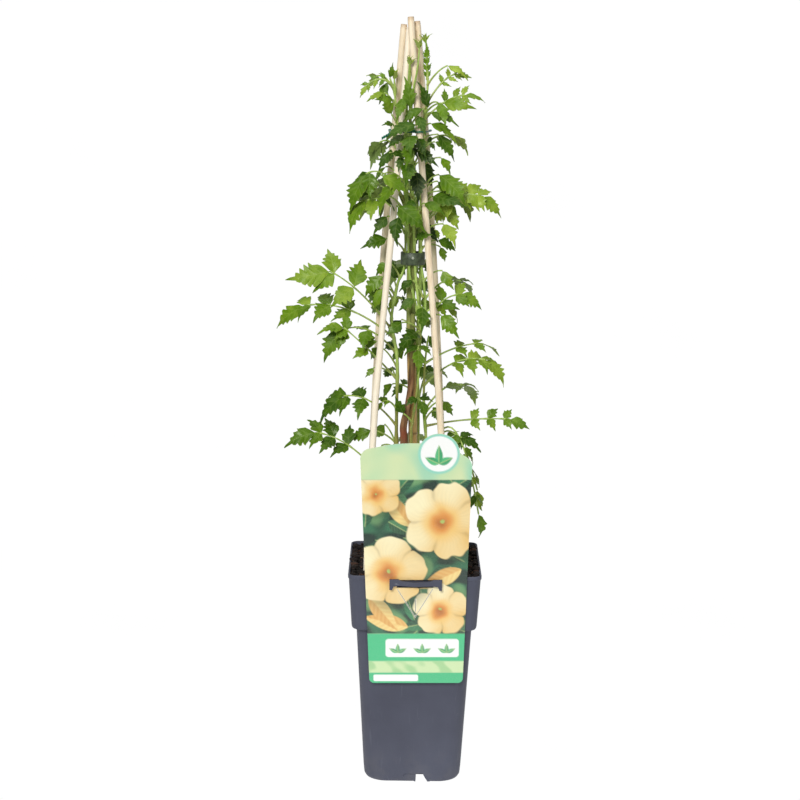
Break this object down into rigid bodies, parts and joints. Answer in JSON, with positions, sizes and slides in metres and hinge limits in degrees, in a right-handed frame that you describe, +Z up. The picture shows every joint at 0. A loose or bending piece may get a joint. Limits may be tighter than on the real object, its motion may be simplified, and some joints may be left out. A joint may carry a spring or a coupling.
{
  "type": "potted trumpet vine",
  "caption": "Young trumpet vine with pinnate leaves, climbing a tepee of wooden sticks and a cane in a tall square nursery pot with a hang-on label.",
  "frame": {"origin": "centre of the pot's flat base, on the ground", "axes": "+Z up along the sticks, -Y towards the side that the label hangs on, +X to the right seen from that side"},
  "size_m": [0.2534, 0.162, 0.7553],
  "materials": {
    "pot_plastic": "satin",
    "compost": "matte",
    "stick_wood": "matte",
    "bamboo": "satin",
    "bark": "matte",
    "strap_plastic": "satin",
    "tie_plastic": "gloss",
    "label_card": "gloss",
    "foliage": "satin"
  },
  "bodies": {
    "root": {"pot": "pot_plastic", "soil": "compost", "stick_front_left": "stick_wood", "stick_front_right": "stick_wood", "stick_back_left": "stick_wood", "stick_back_right": "stick_wood", "bamboo_cane": "bamboo", "trunk": "bark", "stem_band": "strap_plastic", "wire_tie": "tie_plastic", "label": "label_card", "shoot_main": "foliage", "shoot_left": "foliage", "shoot_back": "foliage", "shoot_low": "foliage"}
  },
  "joints": []
}
